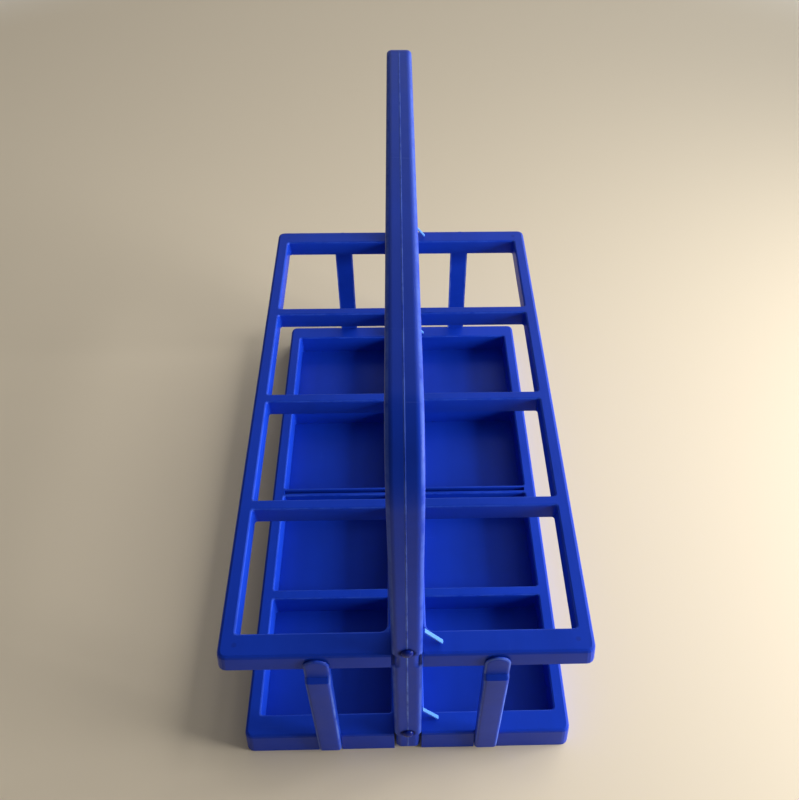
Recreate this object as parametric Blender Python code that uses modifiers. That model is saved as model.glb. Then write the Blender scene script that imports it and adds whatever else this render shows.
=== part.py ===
"""Carrier for eight drinks bottles, moulded in blue plastic.

A shallow tray holds the feet of the bottles and an open frame above it keeps them apart. Tray and frame share
one grid of cells. Four struts on the end faces and the two legs of one arched handle join them. The handle's
legs stand in notches of the end bars, pins hold them to lugs behind, and a springy catch tab on each leg leans
on the bar beside it. Lengths are in metres. +X runs across the carrier, +Y along it from the front end to the
rear end, and +Z up. The origin is at the bottom centre.
"""

import math

import bmesh
import bpy
from mathutils import Matrix, Vector

# Grid of cells, shared by the tray and the frame
CELL_COLUMNS = 2
CELL_ROWS = 4
CELL_SIZE = 0.096
SIDE_BAR_WIDTH = 0.0112
CENTRE_BAR_WIDTH = 0.024
END_BAR_WIDTH = 0.0177
CROSSBAR_WIDTH = 0.0083

# Tray and frame
TRAY_HEIGHT = 0.0224
TRAY_FLOOR = 0.003
FRAME_TOP_HEIGHT = 0.1452
FRAME_BAR_HEIGHT = 0.014
BAR_DRAFT = 0.0011
CORNER_RADIUS = 0.0055
BAR_EDGE_RADIUS = 0.002
CELL_DRAFT = 0.0005
CELL_CORNER_RADIUS = 0.0018
FRAME_GUSSET_RADIUS = 0.005
CELL_EDGE_RADIUS = 0.0014
GROOVE_WIDTH = 0.0037
CORE_WALL = 0.0022
CORE_SKIN = 0.0026
CORE_RIB = 0.002

# Handle
HANDLE_WIDTH = 0.0194
HANDLE_THICKNESS = 0.014
HANDLE_TOP_HEIGHT = 0.338
HANDLE_BEND_RADIUS = 0.042
HANDLE_EDGE_RADIUS = 0.003
HANDLE_FOOT_HEIGHT = 0.003
NECK_CUT = 0.0017
NECK_RISE = 0.0012

# Lugs on the bars, and the pins that hold the handle's legs to them
LUG_WIDTH = 0.016
LUG_THICKNESS = 0.006
PIN_RISE = 0.005
PIN_DIAMETER = 0.005
PIN_HEAD_DIAMETER = 0.008
PIN_HEAD_RISE = 0.0022
PIN_TAIL = 0.0008

# Struts
STRUT_WIDTH = 0.0165
STRUT_OFFSET = 0.057
STRUT_HEAD_DROP = 0.002
STRUT_HEAD_THICKNESS = 0.0014
STRUT_PLATE_PROUD = 0.005
STRUT_FOOT_PROUD = 0.0028
STRUT_RECESS_DEPTH = 0.0034
STRUT_STEP_DROP = 0.009
STRUT_STEP_RISE = 0.0025
STRUT_FOOT_HEIGHT = 0.0033
STRUT_FOOT_RADIUS = 0.003
STRUT_EDGE_RADIUS = 0.0011
PEG_DIAMETER = 0.006
PEG_LENGTH = 0.008

# Catch tabs
TAB_WIDTH = 0.0024
TAB_THICKNESS = 0.0014
TAB_ROOT_RISE = 0.0155
TAB_SLOPE = math.radians(52.0)
FRAME_TAB_INSET = 0.0092
TRAY_TAB_INSET = 0.0127

# Fits and construction
CLEARANCE = 0.0003
OVERRUN = 0.002
WELD_DISTANCE = 0.00001
SHARP_ANGLE = math.radians(35.0)
FLAT_ANGLE = math.radians(1.0)
CORNER_SEGMENTS = 4
EDGE_SEGMENTS = 2
BEND_SEGMENTS = 12
ROUND_SEGMENTS = 16
DOME_SEGMENTS = 4

# Sizes that follow from the ones above
HALF_WIDTH = (CELL_COLUMNS * CELL_SIZE + (CELL_COLUMNS - 1) * CENTRE_BAR_WIDTH) / 2 + SIDE_BAR_WIDTH
HALF_LENGTH = (CELL_ROWS * CELL_SIZE + (CELL_ROWS - 1) * CROSSBAR_WIDTH) / 2 + END_BAR_WIDTH
FRAME_UNDERSIDE = FRAME_TOP_HEIGHT - FRAME_BAR_HEIGHT
NOTCH_HALF_WIDTH = HANDLE_WIDTH / 2 + CLEARANCE
NOTCH_DEPTH = HANDLE_THICKNESS + CLEARANCE
LUG_FACE = HALF_LENGTH - NOTCH_DEPTH
LUG_RISE = PIN_RISE + LUG_WIDTH / 2

ENDS = {"front": -1, "rear": 1}
SIDES = {"left": -1, "right": 1}
LEVELS = {"upper": FRAME_TOP_HEIGHT, "lower": TRAY_HEIGHT}
COLUMN_PITCH = CELL_SIZE + CENTRE_BAR_WIDTH
ROW_PITCH = CELL_SIZE + CROSSBAR_WIDTH
COLUMN_CENTRES = [(column - (CELL_COLUMNS - 1) / 2) * COLUMN_PITCH for column in range(CELL_COLUMNS)]
ROW_CENTRES = [(row - (CELL_ROWS - 1) / 2) * ROW_PITCH for row in range(CELL_ROWS)]

BLUE = (0.003, 0.036, 0.5, 1.0)
TAB_BLUE = (0.01, 0.06, 0.6, 1.0)


def clear_scene():
    """Remove every object that the opened file holds."""
    for item in list(bpy.data.objects):
        bpy.data.objects.remove(item, do_unlink=True)


def make_collection(name):
    """A new collection in the scene."""
    collection = bpy.data.collections.new(name)
    bpy.context.scene.collection.children.link(collection)
    return collection


def make_plastic(name, colour, roughness):
    """A Principled material for moulded plastic."""
    material = bpy.data.materials.new(name)
    material.use_nodes = True
    shader = material.node_tree.nodes["Principled BSDF"]
    shader.inputs["Base Color"].default_value = colour
    shader.inputs["Roughness"].default_value = roughness
    shader.inputs["Metallic"].default_value = 0.0
    material.diffuse_color = colour
    return material


def add_object(name, bm, collection):
    """Turn a bmesh into an object of the collection."""
    mesh = bpy.data.meshes.new(name)
    bmesh.ops.recalc_face_normals(bm, faces=bm.faces[:])
    bm.to_mesh(mesh)
    bm.free()
    item = bpy.data.objects.new(name, mesh)
    collection.objects.link(item)
    return item


def add_cutter(name, bm, collection):
    """An object that only shapes others, so it is drawn as wire and never rendered."""
    item = add_object(name, bm, collection)
    item.hide_render = True
    item.display_type = "WIRE"
    return item


def finish_piece(item, material):
    """Give a finished piece its material and shade its rounded faces smooth."""
    item.data.materials.clear()
    item.data.materials.append(material)
    item.data.shade_smooth()
    item.data.set_sharp_from_angle(angle=SHARP_ANGLE)


def add_block(bm, low, high, drawn_in=None, inset=0.0, inset_axes=(0, 1, 2)):
    """Add a box between two corners. The face drawn_in, an axis and a side, is made smaller by inset."""
    verts = bmesh.ops.create_cube(bm, size=1.0)["verts"]
    for vert in verts:
        sides = [1 if vert.co[axis] > 0 else -1 for axis in range(3)]
        vert.co = [high[axis] if sides[axis] > 0 else low[axis] for axis in range(3)]
        if drawn_in and sides[drawn_in[0]] == drawn_in[1]:
            for axis in inset_axes:
                if axis != drawn_in[0]:
                    vert.co[axis] -= sides[axis] * inset
    return verts


def upright_edges(bm, verts):
    """The edges among the given vertices that run mainly along Z."""
    chosen = set(verts)
    edges = []
    for edge in bm.edges:
        run = edge.verts[0].co - edge.verts[1].co
        if set(edge.verts) <= chosen and abs(run.z) > math.hypot(run.x, run.y):
            edges.append(edge)
    return edges


def round_over(bm, edges, radius, segments):
    """Round the given edges to a radius."""
    bmesh.ops.bevel(
        bm, geom=edges, offset=radius, offset_type="OFFSET", segments=segments,
        profile=0.5, affect="EDGES", clamp_overlap=True,
    )


def add_rod(bm, start, direction, diameter, length):
    """Add a round rod from start along a unit direction."""
    radius = diameter / 2
    turn = Vector((0, 0, 1)).rotation_difference(Vector(direction)).to_matrix().to_4x4()
    place = Matrix.Translation(Vector(start)) @ turn @ Matrix.Translation((0, 0, length / 2))
    bmesh.ops.create_cone(
        bm, cap_ends=True, segments=ROUND_SEGMENTS, radius1=radius, radius2=radius, depth=length, matrix=place,
    )


def combine(item, other, operation):
    """Join or cut an object with another, exactly."""
    step = item.modifiers.new(other.name, "BOOLEAN")
    step.operation = operation
    step.object = other
    step.solver = "EXACT"


def settle(item):
    """Make the modifiers' result the object's own mesh."""
    graph = bpy.context.evaluated_depsgraph_get()
    result = bpy.data.meshes.new_from_object(item.evaluated_get(graph))
    item.modifiers.clear()
    item.data = result


def cut(item, cutters):
    """Cut an object with each of the cutters."""
    for cutter in cutters:
        combine(item, cutter, "DIFFERENCE")
    settle(item)


def join(item, additions):
    """Join objects into one body, and drop the ones that were joined on."""
    for addition in additions:
        combine(item, addition, "UNION")
    settle(item)
    for addition in additions:
        bpy.data.objects.remove(addition, do_unlink=True)


def round_where(item, wanted, radius, segments):
    """Round the sharp edges of an object for which wanted is true."""
    bm = bmesh.new()
    bm.from_mesh(item.data)
    bmesh.ops.remove_doubles(bm, verts=bm.verts[:], dist=WELD_DISTANCE)
    edges = [edge for edge in bm.edges if edge.calc_face_angle(0.0) > SHARP_ANGLE and wanted(edge)]
    round_over(bm, edges, radius, segments)
    bm.to_mesh(item.data)
    bm.free()


def extruded_outline(name, points, depth, place, collection):
    """A flat outline extruded by depth, as a mesh that is already in its place."""
    curve = bpy.data.curves.new(name, "CURVE")
    curve.dimensions = "2D"
    curve.fill_mode = "BOTH"
    curve.extrude = depth / 2
    spline = curve.splines.new("POLY")
    spline.points.add(len(points) - 1)
    for control, (across, up) in zip(spline.points, points):
        control.co = (across, up, 0.0, 1.0)
    spline.use_cyclic_u = True
    outline = bpy.data.objects.new(name, curve)
    collection.objects.link(outline)
    bpy.context.view_layer.update()
    mesh = bpy.data.meshes.new_from_object(outline.evaluated_get(bpy.context.evaluated_depsgraph_get()))
    bpy.data.objects.remove(outline, do_unlink=True)
    bm = bmesh.new()
    bm.from_mesh(mesh)
    bmesh.ops.remove_doubles(bm, verts=bm.verts[:], dist=WELD_DISTANCE)
    bmesh.ops.dissolve_limit(bm, angle_limit=FLAT_ANGLE, verts=bm.verts[:], edges=bm.edges[:])
    bmesh.ops.transform(bm, matrix=place, verts=bm.verts[:])
    return add_object(name, bm, collection)


def arc(centre, radius, start, end, segments):
    """Points along an arc, both ends included; the angles are in degrees."""
    points = []
    for step in range(segments + 1):
        angle = math.radians(start + (end - start) * step / segments)
        points.append((centre[0] + radius * math.cos(angle), centre[1] + radius * math.sin(angle)))
    return points


def cell_blocks(name, bottom, top, grow, radius, gusset, collection):
    """One cutter with a block for each cell. The two corners of an end cell next to the centre bar can have a
    larger radius, which leaves a gusset between that bar and the end bar."""
    bm = bmesh.new()
    half = CELL_SIZE / 2 + grow
    for row, y in enumerate(ROW_CENTRES):
        for x in COLUMN_CENTRES:
            verts = add_block(
                bm, (x - half, y - half, bottom), (x + half, y + half, top), (2, -1), CELL_DRAFT,
            )
            edges = upright_edges(bm, verts)
            end = {0: -1, CELL_ROWS - 1: 1}.get(row, 0)
            wide = []
            for edge in edges:
                spot = edge.verts[0].co
                if gusset and abs(spot.x) < abs(x) and (spot.y - y) * end > 0:
                    wide.append(edge)
            plain = [edge for edge in edges if edge not in wide]
            if wide:
                round_over(bm, wide, gusset, CORNER_SEGMENTS)
                plain = [edge for edge in plain if edge.is_valid]
            if radius:
                round_over(bm, plain, radius, CORNER_SEGMENTS - 1)
    return add_cutter(name, bm, collection)


def notch_blocks(name, bottom, top, grow, collection):
    """One cutter for the notches that take the handle's legs at both ends."""
    bm = bmesh.new()
    half = NOTCH_HALF_WIDTH + grow
    for end in ENDS.values():
        outer = end * (HALF_LENGTH + OVERRUN)
        inner = end * (HALF_LENGTH - NOTCH_DEPTH - grow)
        add_block(bm, (-half, min(outer, inner), bottom), (half, max(outer, inner), top))
    return add_cutter(name, bm, collection)


def core_block(name, bottom, top, cutters):
    """The hollow under the bars: what is left of the grid when every wall, rib and boss is taken away."""
    bm = bmesh.new()
    x = HALF_WIDTH - CORE_WALL - BAR_DRAFT
    y = HALF_LENGTH - CORE_WALL - BAR_DRAFT
    verts = add_block(bm, (-x, -y, bottom - OVERRUN), (x, y, top - CORE_SKIN))
    round_over(bm, upright_edges(bm, verts), CORNER_RADIUS - CORE_WALL, CORNER_SEGMENTS)
    core = add_cutter(name, bm, cutters)
    high = top + OVERRUN
    low = bottom - OVERRUN - OVERRUN
    cells = cell_blocks(name + "_cells", low, high, CORE_WALL, CELL_CORNER_RADIUS, 0.0, cutters)
    notches = notch_blocks(name + "_notches", low, high, CORE_WALL, cutters)
    bm = bmesh.new()
    for y in ROW_CENTRES:
        add_block(bm, (-HALF_WIDTH, y - CORE_RIB / 2, low), (HALF_WIDTH, y + CORE_RIB / 2, high))
    ribs = add_cutter(name + "_ribs", bm, cutters)
    bm = bmesh.new()
    boss = STRUT_WIDTH / 2 + CLEARANCE + CORE_WALL
    for side in SIDES.values():
        for end in ENDS.values():
            inner = end * (HALF_LENGTH - END_BAR_WIDTH)
            outer = end * (HALF_LENGTH + OVERRUN)
            middle = side * STRUT_OFFSET
            add_block(bm, (middle - boss, min(inner, outer), low), (middle + boss, max(inner, outer), high))
    bosses = add_cutter(name + "_bosses", bm, cutters)
    cut(core, [cells, notches, ribs, bosses])
    return core


def bar_block(name, bottom, top, collection):
    """The outer block of the tray or the frame. Its outer faces flare out towards the open underside, as a
    moulding's do, and its corners and top edge are round."""
    bm = bmesh.new()
    verts = add_block(
        bm, (-HALF_WIDTH, -HALF_LENGTH, bottom), (HALF_WIDTH, HALF_LENGTH, top), (2, 1), BAR_DRAFT,
    )
    round_over(bm, upright_edges(bm, verts), CORNER_RADIUS, CORNER_SEGMENTS)
    rim = [edge for edge in bm.edges if all(abs(vert.co.z - top) < WELD_DISTANCE for vert in edge.verts)]
    round_over(bm, rim, BAR_EDGE_RADIUS, EDGE_SEGMENTS)
    return add_object(name, bm, collection)


def round_cell_edges(item, top):
    """Round the upper edges of all cells."""
    x_limit = CENTRE_BAR_WIDTH / 2 - WELD_DISTANCE
    y_limit = HALF_LENGTH - END_BAR_WIDTH + WELD_DISTANCE

    def wanted(edge):
        return all(
            abs(vert.co.z - top) < WELD_DISTANCE and abs(vert.co.x) > x_limit and abs(vert.co.y) < y_limit
            for vert in edge.verts
        )

    round_where(item, wanted, CELL_EDGE_RADIUS, EDGE_SEGMENTS)


def lug_pieces(name, top, collection):
    """Two round-topped lugs that stand on the ends of the centre bar, behind the handle's legs. They reach into
    the notches by an overrun, which the notches' cutter takes off again."""
    lugs = []
    for end_name, end in ENDS.items():
        middle = (0.0, PIN_RISE)
        radius = LUG_WIDTH / 2
        points = [(-radius, -CORE_SKIN / 2)] + arc(middle, radius, 180.0, 0.0, ROUND_SEGMENTS // 2)
        points.append((radius, -CORE_SKIN / 2))
        depth = LUG_THICKNESS + OVERRUN
        y = end * (LUG_FACE - LUG_THICKNESS + depth / 2)
        place = Matrix.Translation((0.0, y, top)) @ Matrix.Rotation(math.radians(90.0), 4, "X")
        lugs.append(extruded_outline(f"{name}_{end_name}", points, depth, place, collection))
    return lugs


def pin_holes(name, top, collection):
    """One cutter for the two pin holes of a level, through the lug and the leg."""
    bm = bmesh.new()
    diameter = PIN_DIAMETER + CLEARANCE + CLEARANCE
    length = NOTCH_DEPTH + LUG_THICKNESS + OVERRUN + OVERRUN
    for end in ENDS.values():
        start = (0.0, end * (HALF_LENGTH + OVERRUN), top + PIN_RISE)
        add_rod(bm, start, (0, -end, 0), diameter, length)
    return add_cutter(name, bm, collection)


def peg_holes(name, height, collection):
    """One cutter for the four holes that take the struts' pegs on a level."""
    bm = bmesh.new()
    diameter = PEG_DIAMETER + CLEARANCE + CLEARANCE
    length = OVERRUN + STRUT_RECESS_DEPTH + PEG_LENGTH + CLEARANCE
    for end in ENDS.values():
        for side in SIDES.values():
            start = (side * STRUT_OFFSET, end * (HALF_LENGTH + OVERRUN), height)
            add_rod(bm, start, (0, -end, 0), diameter, length)
    return add_cutter(name, bm, collection)


def make_tray(parts, cutters, material):
    """The tray: eight pans with a floor, bars between them, and a groove along the middle crossbar."""
    tray = bar_block("base_tray", 0.0, TRAY_HEIGHT, parts)
    high = TRAY_HEIGHT + OVERRUN
    pans = cell_blocks("tray_pans", TRAY_FLOOR, high, 0.0, CELL_CORNER_RADIUS, 0.0, cutters)
    cut(tray, [pans])
    round_cell_edges(tray, TRAY_HEIGHT)
    bm = bmesh.new()
    for x in COLUMN_CENTRES:
        low = (x - CELL_SIZE / 2, -GROOVE_WIDTH / 2, TRAY_FLOOR)
        add_block(bm, low, (x + CELL_SIZE / 2, GROOVE_WIDTH / 2, high))
    groove = add_cutter("tray_groove", bm, cutters)
    notches = notch_blocks("tray_notches", -OVERRUN, high + LUG_RISE, 0.0, cutters)
    core = core_block("tray_core", 0.0, TRAY_HEIGHT, cutters)
    bm = bmesh.new()
    half_bar = CROSSBAR_WIDTH / 2
    add_block(bm, (-HALF_WIDTH, -half_bar, -OVERRUN - OVERRUN), (HALF_WIDTH, half_bar, high))
    cut(core, [add_cutter("tray_core_middle", bm, cutters)])
    bm = bmesh.new()
    for end in ENDS.values():
        for side in SIDES.values():
            half = STRUT_WIDTH / 2 + CLEARANCE
            outer = end * (HALF_LENGTH + OVERRUN)
            inner = end * (HALF_LENGTH - STRUT_RECESS_DEPTH)
            middle = side * STRUT_OFFSET
            low = (middle - half, min(inner, outer), -OVERRUN)
            add_block(bm, low, (middle + half, max(inner, outer), high))
    recesses = add_cutter("tray_recesses", bm, cutters)
    holes = peg_holes("tray_peg_holes", TRAY_HEIGHT / 2, cutters)
    join(tray, lug_pieces("tray_lug", TRAY_HEIGHT, cutters))
    cut(tray, [groove, notches, core, recesses, holes, pin_holes("tray_pin_holes", TRAY_HEIGHT, cutters)])
    finish_piece(tray, material)


def make_frame(parts, cutters, material):
    """The frame: eight open cells between bars that are hollow underneath."""
    frame = bar_block("top_frame", FRAME_UNDERSIDE, FRAME_TOP_HEIGHT, parts)
    high = FRAME_TOP_HEIGHT + OVERRUN
    low = FRAME_UNDERSIDE - OVERRUN
    cells = cell_blocks("frame_cells", low, high, 0.0, CELL_CORNER_RADIUS, FRAME_GUSSET_RADIUS, cutters)
    cut(frame, [cells])
    round_cell_edges(frame, FRAME_TOP_HEIGHT)
    join(frame, lug_pieces("frame_lug", FRAME_TOP_HEIGHT, cutters))
    notches = notch_blocks("frame_notches", low, high + LUG_RISE, 0.0, cutters)
    core = core_block("frame_core", FRAME_UNDERSIDE, FRAME_TOP_HEIGHT, cutters)
    holes = peg_holes("frame_peg_holes", FRAME_UNDERSIDE + FRAME_BAR_HEIGHT / 2, cutters)
    cut(frame, [notches, core, holes, pin_holes("frame_pin_holes", FRAME_TOP_HEIGHT, cutters)])
    finish_piece(frame, material)


def make_handle(parts, cutters, material):
    """The arched handle, with a narrow neck where each leg stands in a notch."""
    outer = HANDLE_BEND_RADIUS
    inner = HANDLE_BEND_RADIUS - HANDLE_THICKNESS
    rear = (HALF_LENGTH - HANDLE_BEND_RADIUS, HANDLE_TOP_HEIGHT - HANDLE_BEND_RADIUS)
    front = (-rear[0], rear[1])
    points = [(-HALF_LENGTH, HANDLE_FOOT_HEIGHT)]
    points += arc(front, outer, 180.0, 90.0, BEND_SEGMENTS)
    points += arc(rear, outer, 90.0, 0.0, BEND_SEGMENTS)
    points.append((HALF_LENGTH, HANDLE_FOOT_HEIGHT))
    points.append((HALF_LENGTH - HANDLE_THICKNESS, HANDLE_FOOT_HEIGHT))
    points += arc(rear, inner, 0.0, 90.0, BEND_SEGMENTS)
    points += arc(front, inner, 90.0, 180.0, BEND_SEGMENTS)
    points.append((HANDLE_THICKNESS - HALF_LENGTH, HANDLE_FOOT_HEIGHT))
    place = Matrix(((0, 0, 1, 0), (1, 0, 0, 0), (0, 1, 0, 0), (0, 0, 0, 1)))
    handle = extruded_outline("carry_handle", points, HANDLE_WIDTH, place, parts)
    round_where(handle, lambda edge: True, HANDLE_EDGE_RADIUS, EDGE_SEGMENTS + 1)
    bm = bmesh.new()
    necks = {
        FRAME_TOP_HEIGHT + NECK_RISE: FRAME_UNDERSIDE - NECK_RISE,
        TRAY_HEIGHT + NECK_RISE: HANDLE_FOOT_HEIGHT - OVERRUN - NECK_CUT,
    }
    for top, bottom in necks.items():
        for end in ENDS.values():
            for side in SIDES.values():
                deep = side * (HANDLE_WIDTH / 2 - NECK_CUT)
                wide = side * (HANDLE_WIDTH / 2 + OVERRUN)
                near = end * (HALF_LENGTH + OVERRUN)
                far = end * (HALF_LENGTH - HANDLE_THICKNESS - OVERRUN)
                low = (min(deep, wide), min(near, far), bottom - OVERRUN)
                high = (max(deep, wide), max(near, far), top + OVERRUN)
                add_block(bm, low, high, (0, -side), NECK_CUT + OVERRUN, (2,))
    neck_cutter = add_cutter("handle_necks", bm, cutters)
    holes = [pin_holes(f"handle_{level}_pin_holes", top, cutters) for level, top in LEVELS.items()]
    cut(handle, [neck_cutter] + holes)
    finish_piece(handle, material)


def strut_profile():
    """The strut from the side, as points (outwards, up): its foot, its shoulder, its head, its step and its plate."""
    head_back = HALF_LENGTH + CLEARANCE
    head_front = head_back + STRUT_HEAD_THICKNESS
    plate_back = HALF_LENGTH - STRUT_RECESS_DEPTH + CLEARANCE
    shoulder = FRAME_UNDERSIDE - CLEARANCE
    step = FRAME_UNDERSIDE - STRUT_STEP_DROP
    above = FRAME_TOP_HEIGHT + OVERRUN
    return [
        (plate_back, -OVERRUN),
        (plate_back, shoulder),
        (head_back, shoulder),
        (head_back, above),
        (head_front, above),
        (head_front, step),
        (HALF_LENGTH + STRUT_PLATE_PROUD, step - STRUT_STEP_RISE),
        (HALF_LENGTH + STRUT_FOOT_PROUD, -OVERRUN),
    ]


def make_strut(name, side, end, parts, cutters, material):
    """A strut: its round head lies on the frame's end face, a shoulder behind it carries the frame, and the thick
    plate below steps outwards and sits in a recess of the tray. A peg on its back goes into each of them."""
    radius = STRUT_WIDTH / 2
    top = FRAME_TOP_HEIGHT - STRUT_HEAD_DROP - radius
    foot = STRUT_FOOT_HEIGHT + STRUT_FOOT_RADIUS
    heel = radius - STRUT_FOOT_RADIUS
    points = arc((0.0, top), radius, 180.0, 0.0, ROUND_SEGMENTS // 2)
    points += arc((heel, foot), STRUT_FOOT_RADIUS, 0.0, -90.0, EDGE_SEGMENTS)
    points += arc((-heel, foot), STRUT_FOOT_RADIUS, -90.0, -180.0, EDGE_SEGMENTS)
    x = side * STRUT_OFFSET
    turn = Matrix.Rotation(math.radians(90.0), 4, "X")
    place = Matrix.Translation((x, end * HALF_LENGTH, 0.0)) @ turn
    strut = extruded_outline(name, points, STRUT_WIDTH, place, parts)
    place = Matrix(((0.0, 0.0, end, x), (end, 0.0, 0.0, 0.0), (0.0, 1.0, 0.0, 0.0), (0.0, 0.0, 0.0, 1.0)))
    profile = extruded_outline(name + "_profile", strut_profile(), STRUT_WIDTH + OVERRUN, place, cutters)
    profile.hide_render = True
    profile.display_type = "WIRE"
    combine(strut, profile, "INTERSECT")
    settle(strut)
    head_back = HALF_LENGTH + CLEARANCE
    plate_back = head_back - STRUT_RECESS_DEPTH
    heights = {head_back: FRAME_UNDERSIDE + FRAME_BAR_HEIGHT / 2, plate_back: TRAY_HEIGHT / 2}

    def wanted(edge):
        outside = all(vert.co.y * end > head_back + STRUT_HEAD_THICKNESS - WELD_DISTANCE for vert in edge.verts)
        across = abs(edge.verts[0].co.x - edge.verts[1].co.x)
        return outside and edge.is_convex and across < STRUT_WIDTH - OVERRUN

    round_where(strut, wanted, STRUT_EDGE_RADIUS, EDGE_SEGMENTS)
    pegs = []
    for index, (back, height) in enumerate(heights.items()):
        bm = bmesh.new()
        sunk = STRUT_HEAD_THICKNESS / 2
        add_rod(bm, (x, end * (back + sunk), height), (0, -end, 0), PEG_DIAMETER, PEG_LENGTH + sunk)
        pegs.append(add_object(f"{name}_peg_{index}", bm, cutters))
    join(strut, pegs)
    finish_piece(strut, material)


def make_pin(name, end, top, parts, material):
    """A pin with a domed head on the leg's outer face, through the leg and the lug behind it."""
    shaft = PIN_DIAMETER / 2
    head = PIN_HEAD_DIAMETER / 2
    length = CLEARANCE + HANDLE_THICKNESS + CLEARANCE + LUG_THICKNESS + PIN_TAIL
    dome = arc((0.0, 0.0), 1.0, 90.0, 0.0, DOME_SEGMENTS)
    profile = [(head * across, PIN_HEAD_RISE * up) for across, up in dome]
    profile[0] = (0.0, PIN_HEAD_RISE)
    profile += [(shaft, 0.0), (shaft, PIN_TAIL - length), (shaft - PIN_TAIL, -length), (0.0, -length)]
    mesh = bpy.data.meshes.new(name)
    edges = [(index, index + 1) for index in range(len(profile) - 1)]
    mesh.from_pydata([(radius, 0.0, height) for radius, height in profile], edges, [])
    pin = bpy.data.objects.new(name, mesh)
    parts.objects.link(pin)
    pin.location = (0.0, end * (HALF_LENGTH + CLEARANCE), top + PIN_RISE)
    pin.rotation_euler = (-end * math.radians(90.0), 0.0, 0.0)
    turning = pin.modifiers.new("turned", "SCREW")
    turning.axis = "Z"
    turning.angle = math.radians(360.0)
    turning.screw_offset = 0.0
    turning.steps = ROUND_SEGMENTS
    turning.render_steps = ROUND_SEGMENTS
    turning.use_merge_vertices = True
    turning.merge_threshold = WELD_DISTANCE
    turning.use_smooth_shade = True
    mesh.materials.append(material)


def make_tab(name, end, top, inset, parts, material):
    """A catch tab: a springy strip that leans from the leg's flank down to the top of the bar. Its origin is on
    the axis at its root, about which it bends."""
    half = TAB_THICKNESS / 2
    reach = (TAB_ROOT_RISE - CLEARANCE - half) / math.sin(TAB_SLOPE)
    points = arc((0.0, 0.0), half, 90.0, 270.0, ROUND_SEGMENTS // 2)
    points += arc((reach, 0.0), half, -90.0, 90.0, ROUND_SEGMENTS // 2)
    place = Matrix.Rotation(TAB_SLOPE, 4, "Y") @ Matrix.Rotation(math.radians(90.0), 4, "X")
    tab = extruded_outline(name, points, TAB_WIDTH, place, parts)
    x = HANDLE_WIDTH / 2 + CLEARANCE + half
    tab.location = (x, end * (HALF_LENGTH - inset), top + TAB_ROOT_RISE)
    finish_piece(tab, material)


def main():
    """Build the carrier."""
    clear_scene()
    parts = make_collection("bottle_carrier")
    cutters = make_collection("cutters")
    make_tray(parts, cutters, make_plastic("tray_plastic", BLUE, 0.32))
    make_frame(parts, cutters, make_plastic("frame_plastic", BLUE, 0.3))
    make_handle(parts, cutters, make_plastic("handle_plastic", BLUE, 0.34))
    strut_plastic = make_plastic("strut_plastic", BLUE, 0.34)
    for end_name, end in ENDS.items():
        for side_name, side in SIDES.items():
            make_strut(f"strut_{end_name}_{side_name}", side, end, parts, cutters, strut_plastic)
    pin_plastic = make_plastic("pin_plastic", BLUE, 0.3)
    tab_plastic = make_plastic("tab_plastic", TAB_BLUE, 0.3)
    for end_name, end in ENDS.items():
        for level, top in LEVELS.items():
            make_pin(f"handle_pin_{end_name}_{level}", end, top, parts, pin_plastic)
            inset = {"upper": FRAME_TAB_INSET, "lower": TRAY_TAB_INSET}[level]
            make_tab(f"catch_tab_{end_name}_{level}", end, top, inset, parts, tab_plastic)


main()
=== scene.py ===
"""Looks of the bottle carrier: moulded blue plastic, the swept handle, and the studio that it stands in.

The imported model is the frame, in metres: +X across the carrier, +Y along it from the front end to the rear
end, +Z up. The file is laid out as an add-on and run as a script.
"""

import math

import bmesh
import bpy
import numpy as np
from bpy.props import FloatProperty, FloatVectorProperty, PointerProperty
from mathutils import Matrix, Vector


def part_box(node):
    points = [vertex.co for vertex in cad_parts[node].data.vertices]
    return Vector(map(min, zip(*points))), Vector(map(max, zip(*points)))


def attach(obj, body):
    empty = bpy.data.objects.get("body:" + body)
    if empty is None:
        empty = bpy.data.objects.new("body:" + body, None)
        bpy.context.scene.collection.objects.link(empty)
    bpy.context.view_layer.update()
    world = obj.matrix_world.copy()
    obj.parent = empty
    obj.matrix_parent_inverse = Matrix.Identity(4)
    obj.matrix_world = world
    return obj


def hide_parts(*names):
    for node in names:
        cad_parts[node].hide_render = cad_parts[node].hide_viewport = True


bl_info = {
    "name": "Bottle Carrier Looks",
    "version": (1, 0, 0),
    "blender": (4, 5, 0),
    "location": "View3D > Sidebar > Carrier",
    "description": "Dresses the packed bottle carrier and sets up its studio",
    "category": "Object",
}

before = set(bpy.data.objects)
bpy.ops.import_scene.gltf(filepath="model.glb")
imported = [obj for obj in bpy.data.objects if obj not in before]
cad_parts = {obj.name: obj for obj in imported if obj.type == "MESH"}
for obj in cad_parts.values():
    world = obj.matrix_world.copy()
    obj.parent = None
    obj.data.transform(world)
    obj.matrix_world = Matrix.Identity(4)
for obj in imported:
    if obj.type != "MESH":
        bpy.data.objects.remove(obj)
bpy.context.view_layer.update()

FRAME_LOW, FRAME_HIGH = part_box("top_frame")
HANDLE_LOW, HANDLE_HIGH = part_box("carry_handle")

# The grid of cells and the heights of the two levels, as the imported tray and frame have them
COLUMN_CENTRE = 0.06
ROW_PITCH = 0.1043
CELL_HALF = 0.048
TRAY_TOP = 0.0224
FRAME_TOP = 0.1452
FRAME_UNDERSIDE = FRAME_LOW.z
# How far out the plain end faces stand, and the heights of the pins' axes
END_FACE = FRAME_HIGH.y
PINS = ("handle_pin_front_upper", "handle_pin_front_lower")
PIN_HEIGHTS = [sum(corner.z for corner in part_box(pin)) / 2 for pin in PINS]
# The frame's ejector marks, as distances from its middle
MARK_ACROSS, MARK_ALONG = 0.1078, 0.2122

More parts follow.
